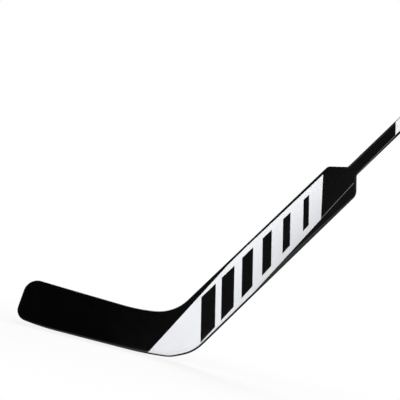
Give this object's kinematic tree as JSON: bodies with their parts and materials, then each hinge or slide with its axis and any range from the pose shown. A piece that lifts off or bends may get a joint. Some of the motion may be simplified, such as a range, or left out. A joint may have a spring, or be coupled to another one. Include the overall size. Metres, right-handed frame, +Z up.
{
  "type": "hockey goalie stick",
  "caption": "Goalkeeper's hockey stick: a curved blade, a wide foam-core paddle with sloping shoulders and a rectangular shaft, black with a white printed panel.",
  "frame": {"origin": "On the sole's plane below the paddle's middle plane, at the middle of the sole's flat length. The flat strip of the sole itself is centred 3.4 mm towards -Y there, because the blade is thinned from the far side.", "axes": "+X from the toe towards the shaft, -Y out of the face that the picture shows, +Z up from the ice. The shaft rises in the XZ plane at 58.2 degrees to +X."},
  "size_m": [0.9811, 0.0238, 1.0912],
  "materials": {
    "black_lacquered_composite": "glass fibre laminate under clear gloss lacquer",
    "black_lacquered_edge": "hard edge under gloss lacquer",
    "rigid_foam": "closed-cell foam, matt",
    "aspen_wood": "sanded, glued in",
    "moulded_plug": "moulded, fine matt grain",
    "white_film": "printed film under gloss lacquer",
    "black_print": "print under gloss lacquer",
    "grey_print": "print under gloss lacquer"
  },
  "bodies": {
    "root": {"shaft_tube": "black_lacquered_composite", "paddle_front_skin": "black_lacquered_composite", "paddle_back_skin": "black_lacquered_composite", "heel_front_skin": "black_lacquered_composite", "heel_back_skin": "black_lacquered_composite", "blade_front_skin": "black_lacquered_composite", "blade_back_skin": "black_lacquered_composite", "paddle_upper_rail": "black_lacquered_edge", "paddle_lower_rail": "black_lacquered_edge", "shoulder_upper_block": "black_lacquered_edge", "shoulder_lower_block": "black_lacquered_edge", "throat_strip": "black_lacquered_edge", "heel_strip": "black_lacquered_edge", "blade_top_strip": "black_lacquered_edge", "blade_sole_strip": "black_lacquered_edge", "toe_strip": "black_lacquered_edge", "shaft_foam_core": "rigid_foam", "paddle_upper_core": "rigid_foam", "paddle_lower_core": "rigid_foam", "blade_core": "rigid_foam", "heel_block": "aspen_wood", "blade_tongue": "aspen_wood", "butt_plug": "moulded_plug", "front_white_panel": "white_film", "back_white_panel": "white_film", "shaft_front_band": "white_film", "shaft_back_band": "white_film", "front_panel_bars": "black_print", "back_panel_bars": "black_print", "front_pinstripe": "grey_print", "back_pinstripe": "grey_print"}
  },
  "joints": []
}
